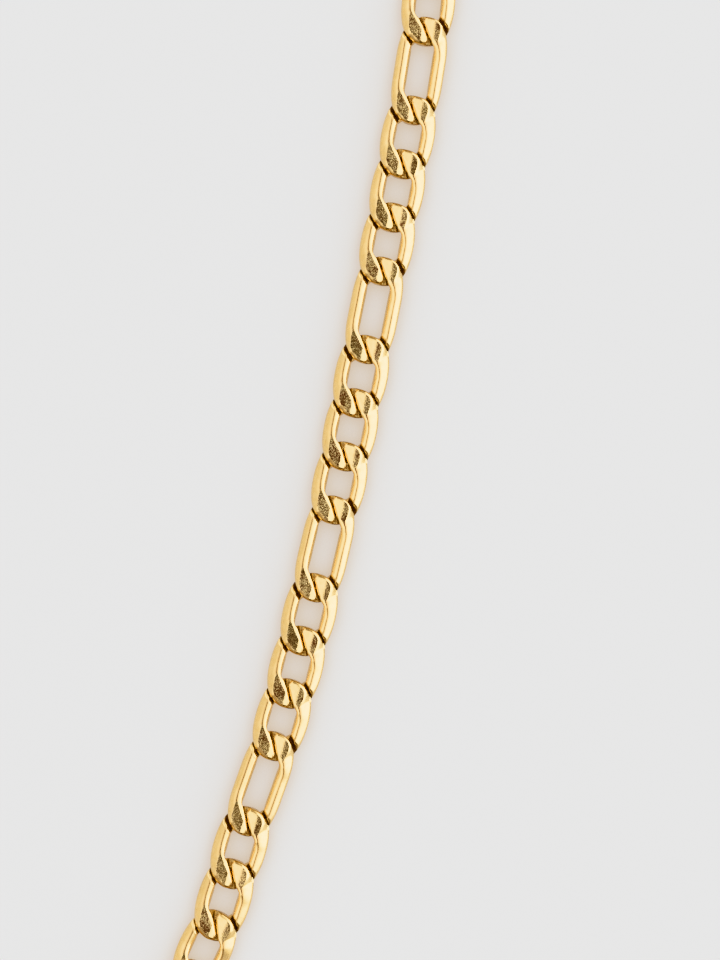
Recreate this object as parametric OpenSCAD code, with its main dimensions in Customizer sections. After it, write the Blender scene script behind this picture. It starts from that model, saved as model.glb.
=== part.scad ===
// A figaro necklace, closed by its clasp and lying flat as one loop on a table.
// After every three short links comes one long link. Each link is an oval of wire that is
// twisted so that its neighbours pass through it, and is then filed flat above and below.

/* [Pattern] */
// Short links between two long links
short_run = 3; // [2:1:4]
// Times that the pattern repeats round the neck
repeats = 21; // [16:1:22]

/* [Short links] */
// Outer width of a short link
short_w = 5; // [4.8:0.1:6]
// Length that a short link adds to the chain, from joint to joint
short_pitch = 5.1; // [4.8:0.1:6.5]
// Width of a short link's wire
short_wire = 1.26; // [1:0.02:1.3]

/* [Long links] */
// Outer width of a long link
long_w = 4.7; // [4.6:0.1:6]
// Length that a long link adds to the chain, from joint to joint
long_pitch = 7.55; // [7:0.05:10]
// Width of a long link's wire
long_wire = 1.19; // [1:0.02:1.3]
// Straight stretch in each side of a long link
long_straight = 2.2; // [1:0.1:2.6]

/* [Twist and filing] */
// Thickness of the wire before the flats are filed
wire_t = 1.2; // [1:0.05:1.3]
// Thickness of the chain over its filed flats
chain_t = 1.7; // [1.4:0.05:2]
// Clear space between two wires where they pass
link_gap = 0.24; // [0.22:0.02:0.3]
// How square the ovals are: 2 is an ellipse
squareness = 2.4; // [2.2:0.1:2.8]

/* [Clasp] */
// Width of the wire of the two rings beside the clasp
ring_wire = 1; // [0.8:0.05:1.2]
// Outer width of those rings
ring_w = 4.6; // [4.4:0.1:5.4]
// Length that each ring adds, from joint to joint
ring_pitch = 3.6; // [3.2:0.1:5]
// Length that the clasp adds, from joint to joint
clasp_pitch = 12.8; // [12:0.1:15]
// Outer width of the clasp's claw
claw_w = 6.2; // [5.6:0.1:7]
// Length of the claw's loop, from joint to joint
claw_pitch = 8.6; // [8:0.1:9.4]
// Width of the claw's wire at its tip
claw_wire = 1.2; // [1:0.05:1.3]
// Width of the claw's heavy body
body_wire = 2; // [1.6:0.1:2.2]
// Thickness of the claw's heavy body
body_t = 2.6; // [2:0.1:3.2]
// Outer width of the loop at the clasp's tail
tail_w = 4.6; // [4.4:0.1:5.4]

/* [Hidden] */
gold = [0.93, 0.74, 0.44];

// Points that the necklace passes on its way round, anticlockwise from the clasp
route_points = [
    [-103, 25], [-112, -19], [-111, -46], [-98, -68], [-76, -81], [-50, -80], [-28, -66],
    [-15, -45], [-10.9, -33], [-7.3, -22.5], [-3.3, -6.5], [-0.9, 4.7], [3, 24.5], [6.4, 44.5],
    [7, 67], [-3, 90], [-25, 105], [-53, 106], [-77, 93], [-91, 68]
];
// How far past the first of those points the middle of the clasp lies
clasp_slip = -9.9;
// Short straight steps that stand for the curve from one of them to the next
route_steps = 12;

// Sections round each oval, and the share of the wire's thickness that its upright sides take
sections = 14;
side_share = 0.25;
// Power that makes a link turn quickly from its low side to its high side at its ends
twist_power = 0.7;

pattern = short_run + 1;
link_count = repeats * pattern;
half_count = floor(link_count / 2);
function is_long(i) = i % pattern == pattern - 2;
function pitch_of(i) = is_long(i) ? long_pitch : short_pitch;

clasp_span = clasp_pitch + 2 * ring_pitch;
// Distance of each joint along the chain, from the middle of the clasp
joints = [
    for (i = 0, d = clasp_span / 2; i <= link_count; d = d + pitch_of(i), i = i + 1) d
];
full_length = joints[link_count] + clasp_span / 2;

// The route is a smooth closed curve through its points, resized to the chain's own length
function curve(a, b, c, d, t) = (
    2 * b + (c - a) * t + (2 * a - 5 * b + 4 * c - d) * t * t
    + (3 * b - a - 3 * c + d) * t * t * t
) / 2;
last_point = len(route_points);
function around(i) = route_points[(i + last_point) % last_point];
drawn = [
    for (i = [0:last_point - 1], k = [0:route_steps - 1])
        curve(around(i - 1), around(i), around(i + 1), around(i + 2), k / route_steps)
];
drawn_loop = concat(drawn, [drawn[0]]);
drawn_length = [
    for (i = 0, d = 0; i < len(drawn_loop);
        d = d + (i < len(drawn) ? norm(drawn_loop[i + 1] - drawn_loop[i]) : 0), i = i + 1) d
];
resize_by = full_length / drawn_length[len(drawn)];
x_along = [for (i = [0:len(drawn)]) [drawn_length[i] * resize_by, drawn_loop[i].x * resize_by]];
y_along = [for (i = [0:len(drawn)]) [drawn_length[i] * resize_by, drawn_loop[i].y * resize_by]];
function wrapped(d) = d - full_length * floor(d / full_length);
function place(d) = [
    lookup(wrapped(d + clasp_slip), x_along), lookup(wrapped(d + clasp_slip), y_along)
];

// Each spot is the middle of a piece and the way that it points
function spot(from, to) = [(from + to) / 2, atan2(to.y - from.y, to.x - from.x) - 90];
link_spots = [for (i = [0:link_count - 1]) spot(place(joints[i]), place(joints[i + 1]))];
clasp_spot = spot(place(joints[link_count]), place(joints[0]));

// The origin is under the middle of the whole loop
all_x = [for (s = link_spots) s[0].x];
all_y = [for (s = link_spots) s[0].y];
middle = [(min(all_x) + max(all_x)) / 2, (min(all_y) + max(all_y)) / 2];

// The wires of two neighbours pass each other at a joint, half of each wire and of the gap past it
function end_length(pitch, wire, straight) = (pitch + wire + link_gap - straight) / 2;
function signed_power(v, p) = sign(v) * pow(abs(v), p);

// The wire's outline: upright sides, and a ridge above and below
function outline(w, t) = [
    [w, t * side_share] / 2, [0, t / 2], [-w, t * side_share] / 2,
    [-w, -t * side_share] / 2, [0, -t / 2], [w, -t * side_share] / 2
];

// One section of an oval at angle a. heavy is 0 for plain wire and 1 in the claw's body
function section(a, half_w, half_l, straight, wire, heavy) = let (
    p = 2 / squareness,
    x = half_w * signed_power(cos(a), p),
    y = half_l * signed_power(sin(a), p) + sign(sin(a)) * straight / 2,
    out_x = signed_power(cos(a), 2 - p) / half_w,
    out_y = signed_power(sin(a), 2 - p) / half_l,
    out = [out_x, out_y] / norm([out_x, out_y]),
    full_t = chain_t + (body_t - chain_t) * heavy,
    w = wire + (body_wire - wire) * heavy,
    t = wire_t + (body_t - wire_t) * heavy,
    rise = (wire_t + link_gap) / 2 * (1 - heavy),
    z = full_t / 2 + rise * signed_power(sin(2 * a), twist_power)
) [
    for (q = outline(w, t))
        [x + out.x * q.x, y + out.y * q.x, max(0, min(full_t, z + q.y))]
];

// A closed oval of wire. body_share is 1 where its lower end is the claw's heavy body
module wire_oval(width, pitch, wire, straight = 0, body_share = 0) {
    half_w = (width - wire) / 2 / pow(cos(180 / sections), 2 / squareness);
    half_l = end_length(pitch, wire, straight);
    rings = [
        for (i = [0:sections - 1]) let (a = (i + 0.5) * 360 / sections)
            section(a, half_w, half_l, straight, wire, body_share * max(0, min(1, -2 * sin(a))))
    ];
    corners = len(rings[0]);
    polyhedron(
        points = [for (r = rings) each r],
        faces = [
            for (i = [0:sections - 1], k = [0:corners - 1]) let (
                n = (i + 1) % sections,
                m = (k + 1) % corners
            ) each [
                [i * corners + k, i * corners + m, n * corners + k],
                [i * corners + m, n * corners + m, n * corners + k]
            ]
        ],
        convexity = 6
    );
}

module at_spot(s) translate(concat(s[0] - middle, [0])) rotate(s[1]) children();

module short_link() wire_oval(short_w, short_pitch, short_wire);

module long_link() wire_oval(long_w, long_pitch, long_wire, long_straight);

module links(first, last) {
    color(gold)
        for (i = [first:last])
            at_spot(link_spots[i])
                if (is_long(i)) long_link(); else short_link();
}

module chain_first_half() links(0, half_count - 1);

module chain_second_half() links(half_count, link_count - 1);

// The rings hold the clasp to the chain's two ends
module side_ring(side) {
    color(gold)
        at_spot(clasp_spot)
            translate([0, side * (clasp_pitch + ring_pitch) / 2, 0])
                wire_oval(ring_w, ring_pitch, ring_wire);
}

module clasp_ring() side_ring(1);

module end_ring() side_ring(-1);

// The claw's heavy body carries a plain loop at its tail
module clasp() {
    tail_pitch = clasp_pitch - claw_pitch + body_wire / 2;
    color(gold)
        at_spot(clasp_spot) {
            translate([0, (claw_pitch - clasp_pitch) / 2, 0])
                rotate(180) wire_oval(claw_w, claw_pitch, claw_wire, 0, 1);
            translate([0, (clasp_pitch - tail_pitch) / 2, 0])
                wire_oval(tail_w, tail_pitch, claw_wire);
        }
}

chain_first_half();
chain_second_half();
clasp_ring();
end_ring();
clasp();
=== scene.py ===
import math

import bpy
import numpy as np
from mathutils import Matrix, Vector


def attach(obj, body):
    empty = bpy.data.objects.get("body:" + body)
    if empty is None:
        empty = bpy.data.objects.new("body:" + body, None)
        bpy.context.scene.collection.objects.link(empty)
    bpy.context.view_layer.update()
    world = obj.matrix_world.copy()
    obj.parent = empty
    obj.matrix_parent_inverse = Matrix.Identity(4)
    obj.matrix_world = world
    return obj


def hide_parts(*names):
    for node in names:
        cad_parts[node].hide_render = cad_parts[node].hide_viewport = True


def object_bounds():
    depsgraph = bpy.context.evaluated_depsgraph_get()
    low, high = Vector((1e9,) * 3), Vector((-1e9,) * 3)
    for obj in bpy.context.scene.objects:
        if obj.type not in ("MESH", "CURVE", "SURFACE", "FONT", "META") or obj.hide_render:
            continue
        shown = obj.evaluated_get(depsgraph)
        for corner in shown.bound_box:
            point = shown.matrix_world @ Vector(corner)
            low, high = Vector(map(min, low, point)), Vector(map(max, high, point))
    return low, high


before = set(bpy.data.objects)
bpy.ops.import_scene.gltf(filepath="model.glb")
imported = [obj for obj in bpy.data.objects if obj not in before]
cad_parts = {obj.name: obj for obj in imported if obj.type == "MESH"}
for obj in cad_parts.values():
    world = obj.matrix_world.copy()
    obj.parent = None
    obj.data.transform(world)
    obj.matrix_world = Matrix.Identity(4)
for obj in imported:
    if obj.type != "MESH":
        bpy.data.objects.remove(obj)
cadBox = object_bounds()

mm = 0.001


# A socket that takes part in Python expressions
class Sock:
    def __init__(self, mat, socket):
        self.mat = mat
        self.socket = socket

    def math(self, operation, *others):
        return self.mat.node("Math", {"operation": operation}, [self, *others])

    def __add__(self, other): return self.math("ADD", other)
    def __radd__(self, other): return self.math("ADD", other)
    def __sub__(self, other): return self.math("SUBTRACT", other)
    def __rsub__(self, other): return self.mat.node("Math", {"operation": "SUBTRACT"}, [other, self])
    def __mul__(self, other): return self.math("MULTIPLY", other)
    def __rmul__(self, other): return self.math("MULTIPLY", other)


# The node tree of one material or of the world
class Shader:
    def __init__(self, owner):
        owner.use_nodes = True
        self.tree = owner.node_tree
        self.tree.nodes.clear()

    # Settings are set first, then values or links go to the sockets, by place or by name
    def node(self, kind, settings=None, inputs=(), output=0):
        made = self.tree.nodes.new("ShaderNode" + kind)
        for name, value in (settings or {}).items():
            setattr(made, name, value)
        pairs = inputs.items() if isinstance(inputs, dict) else enumerate(inputs)
        for key, value in pairs:
            if isinstance(value, Sock):
                self.tree.links.new(value.socket, made.inputs[key])
            else:
                made.inputs[key].default_value = value
        return Sock(self, made.outputs[output]) if made.outputs else None

    # Inputs 6 and 7 and output 2 are the Mix node's colour sockets
    def mixColour(self, share, low, high):
        low, high = ((*c, 1) if isinstance(c, tuple) else c for c in (low, high))
        return self.node("Mix", {"data_type": "RGBA"}, {0: share, 6: low, 7: high}, 2)

    # 0 at low and 1 at high, with soft ends
    def step(self, value, low, high):
        return self.node("MapRange", {"interpolation_type": "SMOOTHSTEP"},
                         {"Value": value, "From Min": low, "From Max": high})

    def noise(self, at, scale, detail=2, roughness=0.5):
        return self.node("TexNoise", {}, {"Vector": at, "Scale": scale, "Detail": detail,
                                          "Roughness": roughness})


def newMaterial(name):
    material = bpy.data.materials.new(name)
    return material, Shader(material)


chain = {
    "shortRun": 3,          # short links between two long ones
    "repeats": 21,
    "shortPitch": 5.1,      # mm from joint to joint
    "longPitch": 7.55,
    "claspPitch": 12.8,
    "ringPitch": 3.6,
    "claspSlip": -9.9,      # mm past the first point of the route
    "routeSteps": 12,
    # The necklace passes these points, anticlockwise from the clasp
    "route": [
        (-103, 25), (-112, -19), (-111, -46), (-98, -68), (-76, -81), (-50, -80), (-28, -66),
        (-15, -45), (-10.9, -33), (-7.3, -22.5), (-3.3, -6.5), (-0.9, 4.7), (3, 24.5), (6.4, 44.5),
        (7, 67), (-3, 90), (-25, 105), (-53, 106), (-77, 93), (-91, 68),
    ],
}


def isLong(i):
    pattern = chain["shortRun"] + 1
    return i % pattern == pattern - 2


# Distances along the chain of every joint, from the middle of the clasp
def jointPlaces():
    count = chain["repeats"] * (chain["shortRun"] + 1)
    start = chain["claspPitch"] / 2 + chain["ringPitch"]
    pitches = [chain["longPitch"] if isLong(i) else chain["shortPitch"] for i in range(count)]
    joints = start + np.concatenate([[0], np.cumsum(pitches)])
    return joints, joints[-1] + start


# The smooth closed route, resized to the chain's length, as points against distance
def routeLoop(length):
    points = np.array(chain["route"], float)
    steps = chain["routeSteps"]
    t = (np.arange(steps) / steps)[:, None]
    a, b, c, d = (np.roll(points, shift, axis=0)[:, None, :] for shift in (1, 0, -1, -2))
    curve = (2 * b + (c - a) * t + (2 * a - 5 * b + 4 * c - d) * t * t
             + (3 * b - a - 3 * c + d) * t ** 3) / 2
    loop = curve.reshape(-1, 2)
    loop = np.vstack([loop, loop[:1]])
    distance = np.concatenate([[0], np.cumsum(np.linalg.norm(np.diff(loop, axis=0), axis=1))])
    resize = length / distance[-1]
    return distance * resize, loop * resize


# Middle and turn of every link and of the clasp, and the middle of the whole loop
def layOut():
    joints, length = jointPlaces()
    distance, loop = routeLoop(length)
    along = (joints + chain["claspSlip"]) % length
    at = np.column_stack([np.interp(along, distance, loop[:, k]) for k in (0, 1)])
    ways = np.diff(at, axis=0)
    middles = (at[1:] + at[:-1]) / 2
    turns = np.arctan2(ways[:, 1], ways[:, 0]) - math.pi / 2
    back = at[0] - at[-1]
    claspTurn = math.atan2(back[1], back[0]) - math.pi / 2
    centre = (middles.min(axis=0) + middles.max(axis=0)) / 2
    return middles - centre, turns, (at[0] + at[-1]) / 2 - centre, claspTurn, centre


linkMiddles, linkTurns, claspMiddle, claspTurn, loopCentre = layOut()
print("laid out", len(linkMiddles), "links")

links = {
    # Sizes in mm. straight is the straight stretch in each side
    "short": {"width": 5.0, "pitch": chain["shortPitch"], "wire": 1.26, "straight": 0.0},
    "long": {"width": 4.7, "pitch": chain["longPitch"], "wire": 1.19, "straight": 2.2},
    "gap": 0.24,            # between two wires where they pass
    "height": 1.7,          # over the filed flats
    "ridgeHeight": 1.5,     # of the strands between the flats
    "square": 2.4,          # 2 would be an ellipse
    "sections": 118,
    "fineSteps": 1800,      # along half an oval, to space the sections by
    "endCrowding": (1.6, 1.5),      # how much closer the sections stand at the ends, and its power
    "facetSlope": 0.70,     # fall of the facets on either side of a ridge or a flat
    "innerSlope": 0.48,
    # From the wire's middle to the foot of its inner facet: at the side's middle, a little past it,
    # and where the wire has risen again after its dip. At the link's end the foot is the wire's edge
    "innerEdge": (0.56, 0.57, 0.60),
    "innerEdgeAt": (0, 0.15, 0.3, 1.3, 1.6, 2),
    "outerLeast": -0.5,     # the flat's outer edge comes no further in than this
    "leastOuterFacet": 0.08,
    "leastInnerFacet": 0.03,
    "leastFlat": 0.02,
    "leastTop": 0.2,        # from the foot of the inner facet to the wire's outer side
    "leastHalf": 0.03,      # half of what is left between the facets above and below
    "innerBulge": 0.16,     # of the inner wall between the flats
    "slitBulge": (0.22, -0.10),
    "slitSteep": 2.5,
    "outerCrown": 0.03,     # of the facets, as a share of their width
    "innerCrown": 0.06,
    "lipRound": 0.03,
    "outerRound": 0.22,
    "innerRound": 0.12,
    "pieceLinks": 14,       # links joined in one piece
    # Points inside the edge that follows each corner, from the outer side's lower corner on
    "edgePoints": (1, 4, 4, 3, 3, 1, 2, 3),
    "ridgeWidths": (0.12, 0.3),     # a top as narrow as the first gets the painted ridge shade in full, as the second not
    "leafTilt": (0.0, 4.2), # degrees, drawn for each filed flat
    "tiltFrom": -1.7,       # across the link, where the tilt begins to tell
    "tiltReach": 1.2,
    "grainRange": (0.75, 1.2),      # drawn for each link
    "seed": 7,
}

# A section leans away from square to the wire where the neighbour crosses, to run along its edge.
# Degrees round the oval from the side's middle, and degrees that the section points from sideways
leaning = ((0, 9, 18, 27, 36, 45, 60, 75, 90), (0, 8, 24, 40, 47, 50, 57, 71, 90))

# The crossing, seen from the joint, in mm: the wire that lies on top comes down on the left,
# and the link is above. The slit parts the tops of the two links, and the slot is the notch
# beside the neighbour's edge on the side where the wire dips under it. Places along the link are
# 0 at the middle of a strand, 1 at the link's end and 2 at the middle of the next strand
crossing = {
    "slitWay": (0.85, 0.53),
    "slitEdge": -0.03,
    "slotWay": (0.76, 0.65),
    "slotEdge": 1.75,
    "slotFloor": 0.73,
    "slotSteep": 5.0,
    "slotFrom": 1.4,        # place along the link
    "darkCut": 0.12,        # depth cut away by the slot where the painted dark shade is full
    "slitAloneFrom": 0.6,   # place from which the slit alone bounds the top
    "overhang": ((0.2, 0.3, 0.4, 0.5), (0, 0.1, 0.3, 0.6)),     # past the wire's edge, by place
    "fullHeightAt": 0.2,    # where the strand's ridge has risen to the flat
    "flatFrom": (0.1, 0.3), # the filing and its grain fade in here
    "topEnds": 1.13,        # where the high flat ends
    "dipFrom": 1.17,
    "dipTo": 1.50,
    "risen": 1.52,
    "dipLevels": ((1.17, 1.30, 1.45, 1.50), (1.28, 1.18, 1.05, 1.0)),
    "dipHalf": 0.35,        # from the wire's middle to the edges of its top where it dips
    "dipEdge": -0.09,       # the end dips under the neighbour beyond this line along the slit
    "dipFloor": 0.74,
    "dipSteep": 3.0,
    "endWay": (0.91, -0.41),        # the cap's rounded end
    "endEdge": 0.66,
    "endSoft": 0.28,
    "capFrom": 0.8,         # the cap's end is rounded between these places
    "capTo": 1.6,
    "patchLevel": 1.2,
    # patchDark is the share of painted dark shade on the low patch
    "patchDark": 0.5,
    "lowRidgeSpan": (4.8, 1.2),     # along the link, from the joint
}

# Outlines of the filed flats from the strand's ridge to the tip beside the slit, in mm from the
# joint. lowRidge gives the edges of the ridge on the strand's other half, and crease is the line
# across the link where the cap beside the slit begins to fall
leaves = {
    "wide": {
        "outer": ((-1.76, 4.8), (-1.76, 2.4), (-1.70, 1.75), (-1.66, 0.84), (-1.58, 0.04),
                  (-1.37, -0.36), (-0.93, -0.70), (-0.61, -1.02), (-0.30, -1.08), (0.45, -1.08)),
        "inner": ((-1.68, 4.8), (-1.68, 2.4), (-1.58, 1.75), (-0.93, 0.80), (-0.46, 0.20),
                  (0.45, -1.20)),
        "lowRidge": (1.76, 1.69),
        "crease": -0.32,
        "creaseSoft": 0.02,
        "grainSoft": 0.03,  # mm over which the grain ends at the crease
        "capTilt": 14,      # degrees
    },
    "narrow": {
        "outer": ((-1.75, 4.8), (-1.75, 2.4), (-1.68, 1.86), (-1.50, 1.36), (-1.27, 0.95),
                  (-1.36, 0.46), (-1.42, -0.07), (-1.36, -0.50), (-1.12, -0.82), (-0.72, -1.03),
                  (-0.30, -1.08), (0.45, -1.08)),
        "inner": ((-1.71, 4.8), (-1.71, 2.4), (-1.61, 1.86), (-1.42, 1.36), (-1.15, 0.95),
                  (-0.86, 0.72), (-0.46, 0.18), (0.45, -1.22)),
        "lowRidge": (1.77, 1.69),
        "crease": -0.78,
        "creaseSoft": 0.06,
        "grainSoft": 0.2,
        "capTilt": 8,
    },
}


def smoothed(values):
    return (np.roll(values, 1) + 2 * values + np.roll(values, -1)) / 4


def signedPower(value, power):
    return np.sign(value) * np.abs(value) ** power


def ovalPoint(spec, arc, shift):
    p = 2 / links["square"]
    a = np.radians(arc)
    halfLength = (spec["pitch"] + spec["wire"] + links["gap"] - spec["straight"]) / 2
    halfWidth = (spec["width"] - spec["wire"]) / 2
    return halfWidth * signedPower(np.cos(a), p), halfLength * signedPower(np.sin(a), p) + shift


# Angles round a link's oval and the place along its straight stretch, closer together at its ends
def ovalPlaces(spec, sections):
    half = np.linspace(-90, 90, links["fineSteps"] + 1)
    rows = []
    for side in (0, 180):
        arc = half + side
        shift = np.sign(np.sin(np.radians(arc))) * spec["straight"] / 2
        rows.append(np.column_stack([arc, shift]))
    fine = np.vstack(rows)
    x, y = ovalPoint(spec, fine[:, 0], fine[:, 1])
    steps = np.hypot(np.diff(x, append=x[0]), np.diff(y, append=y[0]))
    crowding, power = links["endCrowding"]
    closer = 1 + crowding * np.abs(np.sin(np.radians(fine[:, 0]))) ** power
    run = np.concatenate([[0], np.cumsum(steps * closer)])
    wanted = np.arange(sections) / sections * run[-1]
    arc = np.interp(wanted, run, np.append(fine[:, 0], 270))
    shift = np.interp(wanted, run, np.append(fine[:, 1], fine[0, 1]))
    return arc, shift


# Middle of every section and the way straight outward
def outward(spec, arc, shift):
    step = 0.4      # degrees to either side
    x, y = ovalPoint(spec, arc, shift)
    nearX, nearY = ovalPoint(spec, arc + step, shift)
    farX, farY = ovalPoint(spec, arc - step, shift)
    alongX, alongY = nearX - farX, nearY - farY
    size = np.hypot(alongX, alongY)
    return x, y, alongY / size, -alongX / size


# The same with the way that the section points, as long as it takes to go 1 mm outward
def sectionWays(spec, arc, shift):
    x, y, outX, outY = outward(spec, arc, shift)
    part = arc % 180
    lean = np.radians(np.interp(np.minimum(part, 180 - part), *leaning))
    wayX = np.cos(lean) * np.sign(np.cos(np.radians(arc)))
    wayY = np.sin(lean) * np.sign(np.sin(np.radians(arc)))
    reach = wayX * outX + wayY * outY
    return x, y, wayX / reach, wayY / reach


# How far from its middle each section meets a bent line, or nan where it doesn't
def meets(x, y, wayX, wayY, line):
    reach = 1.4     # mm, past which the line belongs to another part of the link
    line = np.array(line)
    start, step = line[:-1], np.diff(line, axis=0)
    dx, dy = start[:, 0] - x[:, None], start[:, 1] - y[:, None]
    turn = wayX[:, None] * step[:, 1] - wayY[:, None] * step[:, 0]
    along = (dx * step[:, 1] - dy * step[:, 0]) / turn
    share = (dx * wayY[:, None] - dy * wayX[:, None]) / turn
    along = np.where((share >= 0) & (share <= 1) & (np.abs(along) < reach), along, np.nan)
    nearest = np.argmin(np.where(np.isnan(along), np.inf, np.abs(along)), axis=1)
    return along[np.arange(len(along)), nearest]


# Gaps in a row of values round the link are bridged
def bridged(values):
    known = np.flatnonzero(~np.isnan(values))
    return np.interp(np.arange(len(values)), known, values[known], period=len(values))


# The top of every section: edges of its flat or ridge, foot of its inner facet, and heights
def upperHalf(spec, arc, x, y, wayX, wayY):
    at = (arc % 180) / 90
    isWide = (arc % 360) > 180
    sign = np.where(isWide, 1, -1)
    fromJoint = (sign * x, sign * y + spec["pitch"] / 2, sign * wayX, sign * wayY)
    high, dip = at < crossing["topEnds"], (at > crossing["dipFrom"]) & (at < crossing["dipTo"])
    low = at > crossing["risen"]
    half = spec["wire"] / 2
    edges = {}
    for place, name in enumerate(("outer", "inner")):
        value = np.full_like(x, np.nan)
        for leaf, mask in (("wide", isWide), ("narrow", ~isWide)):
            value = np.where(mask & high, meets(*fromJoint, leaves[leaf][name]), value)
        for leaf, mask in (("wide", isWide), ("narrow", ~isWide)):
            ridge = leaves[leaf]["lowRidge"][place]
            line = [(ridge, end) for end in crossing["lowRidgeSpan"]]
            value = np.where(mask & low, meets(*fromJoint, line), value)
        value[dip] = crossing["dipHalf"] * (1, -1)[place]
        edges[name] = bridged(value)
    outer = np.clip(edges["outer"], links["outerLeast"], half - links["leastOuterFacet"])
    slitX, slitY = crossing["slitWay"]
    slit = crossing["slitEdge"] - slitX * fromJoint[0] - slitY * fromJoint[1]
    slit = slit / (slitX * fromJoint[2] + slitY * fromJoint[3])
    foot, nearFoot, lowFoot = links["innerEdge"]
    own = -np.interp(at, links["innerEdgeAt"], (foot, nearFoot, half, half, lowFoot, foot))
    over = -half - np.interp(at, *crossing["overhang"])
    bound = np.maximum(slit, over)
    edge = np.where(at < crossing["slitAloneFrom"], np.minimum(own, bound), bound)
    edge = np.where(high, edge, np.where(dip | low, own, np.nan))
    edge = smoothed(smoothed(np.minimum(bridged(edge), half - links["leastTop"])))
    inner = np.clip(edges["inner"], edge + links["leastInnerFacet"], outer - links["leastFlat"])
    level = np.full_like(x, np.nan)
    level[high] = np.interp(at[high], (0, crossing["fullHeightAt"]),
                            (links["ridgeHeight"], links["height"]))
    level[dip] = np.interp(at[dip], *crossing["dipLevels"])
    level[low] = links["ridgeHeight"]
    level = bridged(level)
    outerTop = level - (half - outer) * links["facetSlope"]
    innerTop = level - (inner - edge) * links["innerSlope"]
    return inner, outer, edge, level, outerTop, innerTop


# The facets above and below never meet
def keptApart(top, low):
    middle = (top + low) / 2
    return np.maximum(top, middle + links["leastHalf"]), np.minimum(low, middle - links["leastHalf"])


def linkSections(spec):
    arc, shift = ovalPlaces(spec, links["sections"])
    x, y, wayX, wayY = sectionWays(spec, arc, shift)
    inner, outer, edge, level, outerTop, innerTop = upperHalf(spec, arc, x, y, wayX, wayY)
    # The lower half is the upper half of the link turned over about its long axis
    turned = (180 - arc) % 360
    order = np.argsort(arc % 360)

    def under(values):
        return np.interp(turned, (arc % 360)[order], values[order], period=360)

    height = links["height"]
    lowLevel, lowOuterTop, lowInnerTop = (height - under(v) for v in (level, outerTop, innerTop))
    outerTop, lowOuterTop = keptApart(outerTop, lowOuterTop)
    innerTop, lowInnerTop = keptApart(innerTop, lowInnerTop)
    wide = np.full_like(x, spec["wire"] / 2)
    side, lip, wall = links["outerRound"], links["lipRound"], links["innerRound"]
    corners = [
        (wide, lowOuterTop, side), (wide, outerTop, side), (outer, level, lip), (inner, level, lip),
        (edge, innerTop, wall), (under(edge), lowInnerTop, wall),
        (under(inner), lowLevel, lip), (under(outer), lowLevel, lip),
    ]
    return arc, x, y, wayX, wayY, corners


# A point's tag is its corner's number and a part more. The corners count from 0 at the outer side's
# lower edge, up and over the top: 2 and 3 are the flat's edges, 4 and 5 those of the inner wall.
# A corner's own three points come first, and those along the edge after it follow from edgeFrom
edgeFrom, edgeSpan = 0.3, 0.6
cornerPoints = 3
steepEdge = 4       # the inner wall


# The outline of every section: rounded corners, and points along the edges between them
def roundedOutline(corners, edgePoints, crowns, steep=None):
    mostRound = 0.42        # share of an edge that a corner's rounding takes at most
    shortest = 1e-6         # mm, so that nothing is divided by nought
    count = len(corners)
    flat = [np.column_stack([u, v]) for u, v, _ in corners]
    rows, tags, cuts = [], [], []
    for i in range(count):
        here, before, after = flat[i], flat[i - 1], flat[(i + 1) % count]
        pair = []
        for other in (before, after):
            way = other - here
            run = np.linalg.norm(way, axis=1, keepdims=True)
            cut = np.minimum(corners[i][2], mostRound * run)
            pair.append(here + way / np.maximum(run, shortest) * cut)
        cuts.append(pair)
    for i in range(count):
        start, end = cuts[i]
        rows += [start, (start + 2 * flat[i] + end) / 4, end]
        tags += [i, i + 0.1, i + 0.2]
        nextStart = cuts[(i + 1) % count][0]
        across = nextStart - end
        for k in range(edgePoints[i]):
            t = (k + 1) / (edgePoints[i] + 1)
            bulge = crowns[i] * 4 * t * (1 - t)
            row = end + across * t + np.column_stack([across[:, 1], -across[:, 0]]) * bulge
            if i == steep:
                late = np.where(across[:, 0] < 0, t ** links["slitSteep"], t)
                row[:, 0] = end[:, 0] + across[:, 0] * late
            rows.append(row)
            tags.append(i + edgeFrom + edgeSpan * t)
    return np.stack(rows, axis=1), np.array(tags)


# How far the cap beside the slit and a tilted flat fall below the highest level, the heights left by
# the slot and by the dip, and how far inside the cap's rounded end
def filing(jointX, jointY, isWide, tilts):
    fall = np.zeros_like(jointX)
    for leaf, mask, tilt in (("wide", isWide, tilts[0]), ("narrow", ~isWide, tilts[1])):
        shape = leaves[leaf]
        soft = shape["creaseSoft"]
        past = soft * np.logaddexp(0, (jointX - shape["crease"]) / soft)
        slope = math.tan(math.radians(shape["capTilt"]))
        across = np.clip(jointX - links["tiltFrom"], 0, links["tiltReach"])
        lean = math.tan(math.radians(tilt)) * across
        fall = np.where(mask, slope * past + lean, fall)
    slotX, slotY = crossing["slotWay"]
    beyond = np.maximum(0, slotX * jointX + slotY * jointY - crossing["slotEdge"])
    slitX, slitY = crossing["slitWay"]
    before = np.maximum(0, crossing["dipEdge"] - slitX * jointX - slitY * jointY)
    endX, endY = crossing["endWay"]
    inside = np.clip((crossing["endEdge"] - endX * jointX - endY * jointY) / crossing["endSoft"], 0, 1)
    return (fall, crossing["slotFloor"] + crossing["slotSteep"] * beyond,
            crossing["dipFloor"] + crossing["dipSteep"] * before, 1 - (1 - inside) ** 2)


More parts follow.
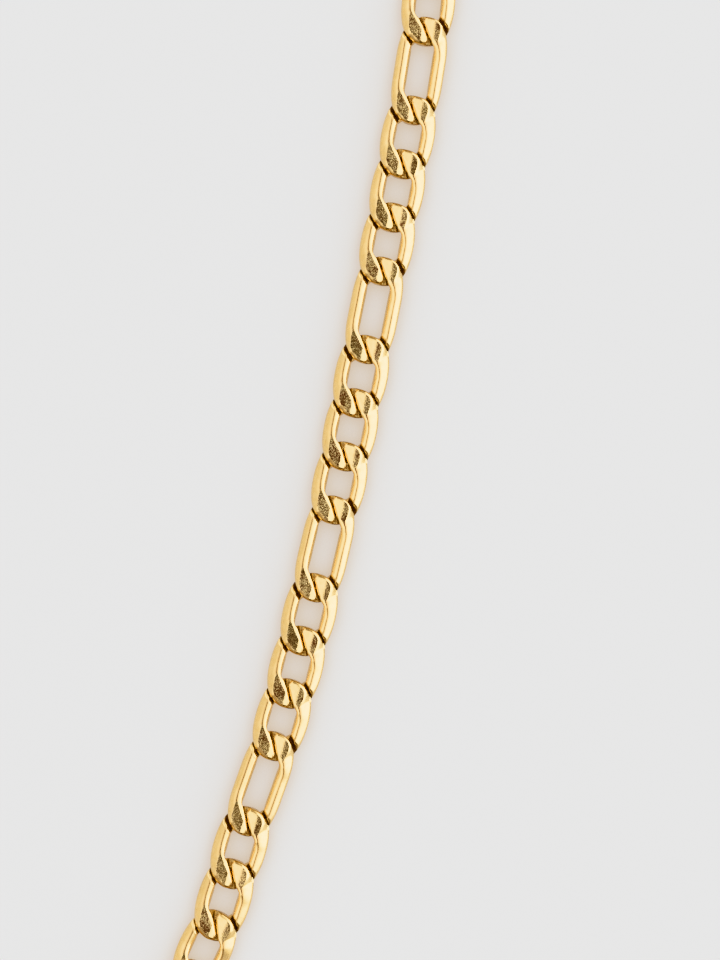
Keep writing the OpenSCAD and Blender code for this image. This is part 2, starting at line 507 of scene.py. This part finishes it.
# Shares that fade round a section's outline, by tag. The last three are tags that bound a part
aroundOutline = {
    "upper": ((0.2, 1.0, 4.2, 5.0), (0, 1, 1, 0)),
    "upperFaces": ((0.4, 1.2, 4.2, 4.6), (0.3, 1, 1, 0)),
    # The ridge, the slit's wall and the walls take painted shade
    "ridge": ((1.9, 2.0, 3.2, 3.4), (0, 1, 1, 0)),
    "slitWall": ((4.2, 4.6, 4.9), (0, 1, 1)),
    "walls": ((0.2, 0.4, 0.8, 1.0, 4.0, 4.3, 4.8, 5.0), (0, 0.45, 0.45, 0, 0, 0.45, 0.45, 0)),
    "outerFacet": ((1.2, 1.5, 1.9), (1, 1, 0)),
    "flat": (2.05, 3.15),
    "outerFacetFrom": 0.5,
    "innerWall": (4.25, 4.95),
}

# Shares that fade along a link, by place
alongLink = {
    # The slit and the rims take painted shade
    "slit": ((0.35, 0.5, 1.1, 1.2), (0, 0.3, 0.3, 0)),
    "rim": ((0.75, 0.9, 1.3, 1.7), (0, 1, 1, 0)),
    "sideSwell": ((0.05, 0.35), (1, 0)),
    "slitSwell": ((0.7, 0.95), (0, 1)),
    "strand": ((0.4, 0.65), (1, 0)),
}


# Points of one link, with how filed each is and how much painted shade each gets: along narrow ridges, on
# walls, rims and the low patch, and darker in the slot and the slit
def linkPoints(kind, tilts):
    spec = links[kind]
    arc, x, y, wayX, wayY, corners = linkSections(spec)
    outerCrown, innerCrown = links["outerCrown"], links["innerCrown"]
    crowns = (0, outerCrown, 0, innerCrown, 0, innerCrown, 0, outerCrown)
    outline, tags = roundedOutline(corners, links["edgePoints"], crowns, steepEdge)
    u, v = outline[:, :, 0], outline[:, :, 1]
    at = ((arc % 180) / 90)[:, None]
    # The inner wall swells between the flats, and at the slit it is steep above and one link's
    # wall stands out under the other's, so that nothing shows through
    wallFrom, wallTo = aroundOutline["innerWall"]
    isWall = (tags > wallFrom) & (tags < wallTo)
    wall = np.where(isWall, (tags - (steepEdge + edgeFrom)) / edgeSpan, 0)
    fromSide = np.minimum(at, 2 - at)
    isBottom = ((arc % 360) > 180)[:, None]
    swell = links["innerBulge"] * np.interp(fromSide, *alongLink["sideSwell"])
    slitSwell = np.interp(fromSide, *alongLink["slitSwell"])
    swell = swell + np.where(isBottom, *links["slitBulge"]) * slitSwell
    u = u - swell * 4 * wall * (1 - wall)
    pointX, pointY = x[:, None] + wayX[:, None] * u, y[:, None] + wayY[:, None] * u
    upper = np.interp(tags, *aroundOutline["upper"])
    lower = 1 - upper
    height = links["height"]
    recessShade, patch = np.zeros_like(pointX), np.zeros_like(pointX)
    for share, turn, side in ((upper, 1, tilts[:2]), (lower, -1, tilts[2:])):
        # Turned over, a point's place round the oval runs the other way
        isWide = ((arc % 360) > 180)[:, None] & np.ones_like(pointX, bool)
        sign = np.where(isWide, 1, -1)
        jointX, jointY = sign * pointX * turn, sign * pointY + spec["pitch"] / 2
        myAt = at if turn > 0 else 2 - at
        fall, slot, dip, inside = filing(jointX, jointY, isWide, side)
        ends = (*crossing["flatFrom"], crossing["topEnds"], crossing["dipFrom"])
        isHigh = np.interp(myAt, ends, (0, 1, 1, 0))
        depth = fall * isHigh * share
        rise = v if turn > 0 else height - v
        rise = rise - depth
        cut = np.where(myAt > crossing["slotFrom"], np.minimum(rise, slot), rise)
        faces = np.interp(tags, *aroundOutline["upperFaces"]) if turn > 0 else share
        # Painted dark shade in the slot, as deep as the slot is cut
        recessShade = np.maximum(recessShade, np.clip((rise - cut) / crossing["darkCut"], 0, 1) * faces)
        isDip = (myAt > crossing["topEnds"]) & (myAt < crossing["capTo"])
        rise = np.where(isDip, np.minimum(cut, dip), cut)
        level = crossing["patchLevel"] + (height - crossing["patchLevel"]) * inside
        isCap = (myAt > crossing["capFrom"]) & (myAt < crossing["capTo"])
        rise = np.where(isCap, np.minimum(rise, level), rise)
        # The low end under the neighbour's cap is marked for painted shade
        patch = np.maximum(patch, (1 - inside) * share * isCap)
        v = rise if turn > 0 else height - rise
        if turn > 0:
            edge = np.where(isWide, leaves["wide"]["crease"], leaves["narrow"]["crease"])
            soft = np.where(isWide, leaves["wide"]["grainSoft"], leaves["narrow"]["grainSoft"])
            grained = np.clip((edge + soft / 2 - jointX) / soft, 0, 1) * isHigh
            flatFrom, flatTo = aroundOutline["flat"]
            filed = grained * ((tags > flatFrom) & (tags < flatTo))
    # A narrow ridge gets a painted dark line of shade along its top
    ridge = np.interp(corners[2][0] - corners[3][0], links["ridgeWidths"], (1, 0))[:, None]
    ridgeShade = ridge * np.interp(tags, *aroundOutline["ridge"])
    slit, paintedShade = shades(at, tags)
    run = np.concatenate([[0], np.cumsum(np.hypot(np.diff(x), np.diff(y)))])[:, None]
    steps = np.hypot(np.diff(u, axis=1, prepend=u[:, :1]), np.diff(v, axis=1, prepend=v[:, :1]))
    across = np.cumsum(steps, axis=1)
    return {"points": np.stack([pointX, pointY, v], axis=2), "filed": filed, "ridgeShade": ridgeShade,
            "paintedShade": np.maximum(paintedShade, patch),
            "recessShade": np.maximum.reduce([recessShade, slit, crossing["patchDark"] * patch]),
            "strand": np.interp(fromSide, *alongLink["strand"]) + 0 * u,
            "place": np.stack([across, run + 0 * across, 0 * across], axis=2)}


# Painted shade: the dark walls of the slit, and the lesser painted shade of the other walls and of the
# rims of the ends
def shades(at, tags):
    slit = np.interp(at, *alongLink["slit"])
    slit = slit * np.interp(tags, *aroundOutline["slitWall"], right=0)
    walls = np.interp(tags, *aroundOutline["walls"])
    rim = np.interp(at, *alongLink["rim"])
    rim = rim * np.interp(tags, *aroundOutline["outerFacet"]) * (tags > aroundOutline["outerFacetFrom"])
    return slit, np.maximum(walls + 0 * at, rim)


def tubeFaces(sections, ring):
    i = np.arange(sections)[:, None]
    k = np.arange(ring)[None, :]
    nextI, nextK = (i + 1) % sections, (k + 1) % ring
    quads = np.stack(np.broadcast_arrays(i * ring + k, nextI * ring + k, nextI * ring + nextK,
                                         i * ring + nextK), axis=-1)
    return quads.reshape(-1, 4)


def meshObject(name, points, faces, attributes):
    mesh = bpy.data.meshes.new(name)
    mesh.from_pydata(points.reshape(-1, 3).tolist(), [], faces.tolist())
    for label, values in attributes.items():
        isVector = values.shape[-1] == 3
        layer = mesh.attributes.new(label, "FLOAT_VECTOR" if isVector else "FLOAT", "POINT")
        layer.data.foreach_set("vector" if isVector else "value", np.asarray(values, np.float32).ravel())
    mesh.polygons.foreach_set("use_smooth", [True] * len(mesh.polygons))
    made = bpy.data.objects.new(name, mesh)
    bpy.context.scene.collection.objects.link(made)
    return made


def turned(points, turn, middle):
    cos, sin = math.cos(turn), math.sin(turn)
    x = points[..., 0] * cos - points[..., 1] * sin + middle[0]
    y = points[..., 0] * sin + points[..., 1] * cos + middle[1]
    return np.stack([x, y, points[..., 2]], axis=-1)


gold = {
    "colour": (0.92, 0.645, 0.275),
    "pale": (0.95, 0.685, 0.32),
    "paleEdges": (0.35, 0.7),       # of the ripple
    "roughness": 0.14,
    "filedRoughness": 0.18,
    "grainScale": 7300,     # per metre
    "grainRoughness": 0.05,
    "grainDepth": 2.5,      # hundredths of a millimetre, as all depths here
    "bumpUnit": 1e-5,       # m
    "pitEdges": (0.60, 0.45),       # of the grain: none at the first, full at the second
    "pitColour": (0.20, 0.086, 0.042),
    "filedShade": 0.06,
    "pitShare": 0.60,
    "patchScale": 900,
    "patchEdges": (0.4, 0.65),
    "patchShare": 0.42,
    # Painted shade along the narrow ridges, with its own roughness
    "ridgeShadeRoughness": 0.24,
    "ridgeShadeColour": (0.31, 0.16, 0.055),
    "ridgeShadeShare": 0.9,
    "streakAcross": 11.0,   # per mm
    "streakAlong": 0.5,
    "streakSpread": 90.0,
    "streakEdges": (0.5, 0.78),
    "streakColour": (0.62, 0.40, 0.14),
    "streakShare": 0.4,
    "streakDepth": 0.35,
    "rippleScale": 2600,
    "rippleDepth": 0.25,
    # Painted shade of the walls, the rims of the ends and the low patch
    "paintedShadeColour": (0.62, 0.38, 0.12),
    "paintedShadeShare": 0.75,
    # Painted dark shade of the slot, the slit and the low patch
    "recessShadeColour": (0.155, 0.049, 0.012),
    "recessShadeRoughness": 0.7,
}


def makeGold(name):
    material, tree = newMaterial(name)

    def share(label):
        return tree.node("Attribute", {"attribute_name": label}, output="Fac")

    filed, ridgeShade, recessShade = share("filed"), share("ridgeShade"), share("recessShade")
    at = tree.node("TexCoord", output="Object")
    grain = tree.noise(at, gold["grainScale"], roughness=0.6)
    ripple = tree.noise(at, gold["rippleScale"])
    # Streaks run along the strands
    stretch = (gold["streakAcross"], gold["streakAlong"], 1)
    place = tree.node("Attribute", {"attribute_name": "place"}, output="Vector")
    place = tree.node("VectorMath", {"operation": "MULTIPLY"}, [place, stretch])
    spread = tree.node("VectorMath", {"operation": "SCALE"}, {0: at, "Scale": gold["streakSpread"]})
    place = tree.node("VectorMath", {"operation": "ADD"}, [place, spread])
    streak = tree.noise(place, 1.0) * share("strand")
    colour = tree.mixColour(tree.step(ripple, *gold["paleEdges"]), gold["colour"], gold["pale"])
    # Painted shade on the walls, the rims of the ends and the low patch
    colour = tree.mixColour(share("paintedShade") * gold["paintedShadeShare"], colour, gold["paintedShadeColour"])
    streaks = tree.step(streak, *gold["streakEdges"]) * gold["streakShare"]
    colour = tree.mixColour(streaks, colour, gold["streakColour"])
    # Painted shade along the narrow ridges
    colour = tree.mixColour(ridgeShade * gold["ridgeShadeShare"], colour, gold["ridgeShadeColour"])
    patches = tree.noise(at, gold["patchScale"], detail=1)
    patches = tree.step(patches, *gold["patchEdges"]) * gold["patchShare"]
    pits = tree.step(grain, *gold["pitEdges"]) * gold["pitShare"]
    pits = (gold["filedShade"] + patches + pits) * filed
    colour = tree.mixColour(pits, colour, gold["pitColour"])
    # Painted dark shade in the slot, the slit and on the low patch
    colour = tree.mixColour(recessShade, colour, gold["recessShadeColour"])
    roughness = gold["roughness"] + gold["grainRoughness"] * grain
    for where, label in ((filed, "filedRoughness"), (recessShade, "recessShadeRoughness"), (ridgeShade, "ridgeShadeRoughness")):
        roughness = roughness + where * (gold[label] - gold["roughness"])
    height = ripple * gold["rippleDepth"] + grain * filed * gold["grainDepth"]
    height = height + streak * gold["streakDepth"]
    bump = tree.node("Bump", {}, {"Strength": 1.0, "Distance": gold["bumpUnit"], "Height": height})
    surface = tree.node("BsdfPrincipled", {}, {"Base Color": colour, "Metallic": 1.0,
                                               "Roughness": roughness, "Normal": bump})
    tree.node("OutputMaterial", {}, {"Surface": surface})
    return material


goldChain = makeGold("gold_chain")
goldClasp = makeGold("gold_clasp")


def buildChain():
    edgePoints = links["edgePoints"]
    faces = tubeFaces(links["sections"], cornerPoints * len(edgePoints) + sum(edgePoints))
    draw = np.random.default_rng(links["seed"])
    perPiece = links["pieceLinks"]
    for start in range(0, len(linkMiddles), perPiece):
        made, allFaces = [], []
        for k, i in enumerate(range(start, start + perPiece)):
            link = linkPoints("long" if isLong(i) else "short", draw.uniform(*links["leafTilt"], 4))
            link["points"] = turned(link["points"], linkTurns[i], linkMiddles[i]) * mm
            link["filed"] = link["filed"] * draw.uniform(*links["grainRange"])
            made.append(link)
            allFaces.append(faces + k * link["filed"].size)
        number = start // perPiece + 1
        joined = {label: np.stack([link[label] for link in made]) for label in made[0]}
        points = np.clip(joined.pop("points"), *cadBox)
        piece = meshObject(f"chain_links_{number}", points, np.vstack(allFaces), joined)
        piece.data.materials.append(goldChain)
        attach(piece, "root")
        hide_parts("chain_first_half" if start < len(linkMiddles) // 2 else "chain_second_half")


buildChain()
print("built the links")

# The clasp and the two rings beside it, of plainer wire with a ridge above and below
fittings = {
    "wireHeight": 1.2,
    "sideShare": 0.25,      # of the wire's height that its upright sides take
    "twistPower": 0.85,
    "sections": 128,
    "round": 0.2,
    "ridgeRound": 0.12,
    "crown": 0.05,
    "edgePoints": 4,
    "sharpAngle": 40,
    "filedSoft": 0.12,      # mm of the wire filed away where the grain is full
    "mostFiled": 0.6,
    "ring": {"width": 4.6, "pitch": chain["ringPitch"], "wire": 1.0, "straight": 0.0},
    "claw": {"width": 6.2, "pitch": 8.6, "wire": 1.2, "straight": 0.0},
    "tail": {"width": 4.6, "pitch": 5.2, "wire": 1.2, "straight": 0.0},
    "bodyWire": 2.0,        # of the claw's heavy body
    "bodyHeight": 2.6,
}


def fittingPoints(kind, hasBody):
    spec = fittings[kind]
    arc, shift = ovalPlaces(spec, fittings["sections"])
    x, y, outX, outY = outward(spec, arc, shift)
    heavy = np.clip(-2 * np.sin(np.radians(arc)), 0, 1) * hasBody
    heavy = heavy * heavy * (3 - 2 * heavy)     # with soft ends
    full = links["height"] + (fittings["bodyHeight"] - links["height"]) * heavy
    wide = (spec["wire"] + (fittings["bodyWire"] - spec["wire"]) * heavy) / 2
    tall = (fittings["wireHeight"] + (fittings["bodyHeight"] - fittings["wireHeight"]) * heavy) / 2
    rise = (fittings["wireHeight"] + links["gap"]) / 2 * (1 - heavy)
    side, ridge = fittings["round"], fittings["ridgeRound"]
    low = tall * fittings["sideShare"]
    corners = [(wide, -low, side), (wide, low, side), (0 * wide, tall, ridge),
               (-wide, low, side), (-wide, -low, side), (0 * wide, -tall, ridge)]
    crown = fittings["crown"]
    edgePoints = [fittings["edgePoints"]] * len(corners)
    outline, _ = roundedOutline(corners, edgePoints, (0, crown, crown, 0, crown, crown))
    z = full / 2 + rise * signedPower(np.sin(np.radians(2 * arc)), fittings["twistPower"])
    u, v = outline[:, :, 0], outline[:, :, 1] + z[:, None]
    points = np.stack([x[:, None] + outX[:, None] * u, y[:, None] + outY[:, None] * u,
                       np.clip(v, 0, full[:, None])], axis=2)
    # How filed each point is goes by how much of the wire the file took
    taken = np.maximum(v - full[:, None], -v) * (1 - heavy[:, None])
    filed = np.clip(taken / fittings["filedSoft"], 0, fittings["mostFiled"])
    return points, tubeFaces(*u.shape), filed


# Two closed shapes become one
def united(first, second):
    join = first.modifiers.new("join", "BOOLEAN")
    join.operation, join.solver, join.object = "UNION", "EXACT", second
    worked = first.evaluated_get(bpy.context.evaluated_depsgraph_get())
    whole = bpy.data.meshes.new_from_object(worked)
    first.modifiers.clear()
    first.data = whole
    bpy.data.objects.remove(second)
    return first


def buildFittings():
    side = (chain["claspPitch"] + chain["ringPitch"]) / 2
    clawAway = (fittings["claw"]["pitch"] - chain["claspPitch"]) / 2
    tailAway = (chain["claspPitch"] - fittings["tail"]["pitch"]) / 2
    pieces = {
        "clasp_ring": [("ring", side, 1)], "end_ring": [("ring", -side, 1)],
        "clasp": [("claw", clawAway, -1), ("tail", tailAway, 1)],
    }
    for name, parts in pieces.items():
        made = []
        for kind, away, facing in parts:
            points, faces, filed = fittingPoints(kind, kind == "claw")
            points = points * (facing, facing, 1) + (0, away, 0)
            points = np.clip(turned(points, claspTurn, claspMiddle) * mm, *cadBox)
            made.append(meshObject(f"{name}_smooth", points, faces, {"filed": filed[..., None]}))
        piece = united(*made) if len(made) == 2 else made[0]
        piece.data.set_sharp_from_angle(angle=math.radians(fittings["sharpAngle"]))
        piece.data.materials.clear()
        piece.data.materials.append(goldClasp)
        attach(piece, "root")
        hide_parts(name)


buildFittings()
print("built the clasp and its rings")

studio = {
    "floorColour": (0.045, 0.056, 0.060),
    "floorGlow": (0.768, 0.741, 0.729),
    "paintedShadowGlow": (0.632, 0.469, 0.307),      # painted shadow with a painted warm reflection of the gold, where the chain hides all of the sky
    "nearReach": 0.0105,    # m
    "nearSamples": 8,
    "floorRoughness": 0.9,
    "floorSpecular": 0.2,
    "floorHalf": 2.0,       # m
    "rightLight": 3.0,
    "farRightLight": 5.8,
    "nearLeftLight": 2.2,
    "farLeftLight": 0.93,
    "foreAft": 0.5,         # light from the front and the back
    "rightEdges": (0.10, 0.40, 0.75, 0.90),     # sine of the angle from straight above
    "leftEdges": (0.14, 0.26, 0.75, 0.93),
    "frontEdges": (0.30, 0.60),
    "frontFade": 0.80,              # share of the light that is gone towards the front
    "darkZone": (11, 15),           # degrees from straight above
    "darkLevel": 0.045,
    "dimLevels": (0.1, 0.8),        # light turns from the dim colour to the middle one
    "brightLevels": (0.9, 3.0),     # and from that to the bright one
    "dimColour": (1.20, 0.87, 0.70),
    "midColour": (1.01, 0.985, 0.91),
    "brightColour": (0.935, 1.07, 1.16),
}


# The floor glows evenly, and near the chain its glow turns to a painted warm shadow
def makeFloor():
    half = studio["floorHalf"]
    points = np.array([(-half, -half, 0), (half, -half, 0), (half, half, 0), (-half, half, 0)])
    floor = meshObject("floor", points, np.array([(0, 1, 2, 3)]), {})
    material, tree = newMaterial("pale_surface")
    # Painted shadow: ambient occlusion darkens and warms the glow near the chain
    clear = tree.node("AmbientOcclusion", {"samples": studio["nearSamples"]},
                      {"Distance": studio["nearReach"]}, "AO")
    glow = tree.mixColour(clear, studio["paintedShadowGlow"], studio["floorGlow"])
    surface = tree.node("BsdfPrincipled", {}, {"Base Color": (*studio["floorColour"], 1),
                                               "Roughness": studio["floorRoughness"],
                                               "Specular IOR Level": studio["floorSpecular"],
                                               "Emission Color": glow,
                                               "Emission Strength": 1.0})
    tree.node("OutputMaterial", {}, {"Surface": surface})
    floor.data.materials.append(material)


# Broad soft light from both sides, less from the front and the back, and dark straight above
def makeSky():
    world = bpy.data.worlds.new("studio")
    bpy.context.scene.world = world
    tree = Shader(world)
    way = tree.node("TexCoord", output="Generated")
    x, y, z = (tree.node("SeparateXYZ", {}, [way], axis) for axis in "XYZ")
    level = studio["foreAft"]
    for side, edges, nearLevel, farLevel in ((x, "rightEdges", "rightLight", "farRightLight"),
                                             (x * -1, "leftEdges", "nearLeftLight", "farLeftLight")):
        near0, near1, far0, far1 = studio[edges]
        level = level + tree.step(side, near0, near1) * (studio[nearLevel] - studio["foreAft"])
        level = level + tree.step(side, far0, far1) * (studio[farLevel] - studio[nearLevel])
    level = level * (1 - tree.step(y * -1, *studio["frontEdges"]) * studio["frontFade"])
    near, far = (math.cos(math.radians(d)) for d in studio["darkZone"])
    dark = tree.step(z, far, near)
    level = level * (1 - dark) + dark * studio["darkLevel"]
    middle, bright = (tree.step(level, *studio[edges]) for edges in ("dimLevels", "brightLevels"))
    colour = tree.mixColour(middle, studio["dimColour"], studio["midColour"])
    colour = tree.mixColour(bright, colour, studio["brightColour"])
    background = tree.node("Background", {}, {"Color": colour, "Strength": level})
    tree.node("OutputWorld", {}, {"Surface": background})


camera = {
    "lens": 100,            # mm
    "sensor": 36,           # mm along the picture's long side
    "clip": (0.01, 20),     # m
    "frameHigh": 89.76,     # mm of the floor that the picture's long side takes in
}


def makeCamera():
    data = bpy.data.cameras.new("camera")
    data.lens = camera["lens"]
    data.sensor_fit = "VERTICAL"
    data.sensor_height = camera["sensor"]
    data.clip_start, data.clip_end = camera["clip"]
    made = bpy.data.objects.new("camera", data)
    away = camera["frameHigh"] * camera["lens"] / camera["sensor"]
    made.location = (-loopCentre[0] * mm, -loopCentre[1] * mm, (away + links["height"]) * mm)
    made.rotation_euler = (0, 0, 0)
    bpy.context.scene.collection.objects.link(made)
    bpy.context.scene.camera = made


makeFloor()
makeSky()
makeCamera()
bpy.context.scene.view_settings.view_transform = "Khronos PBR Neutral"
print("lit the scene and set the camera")
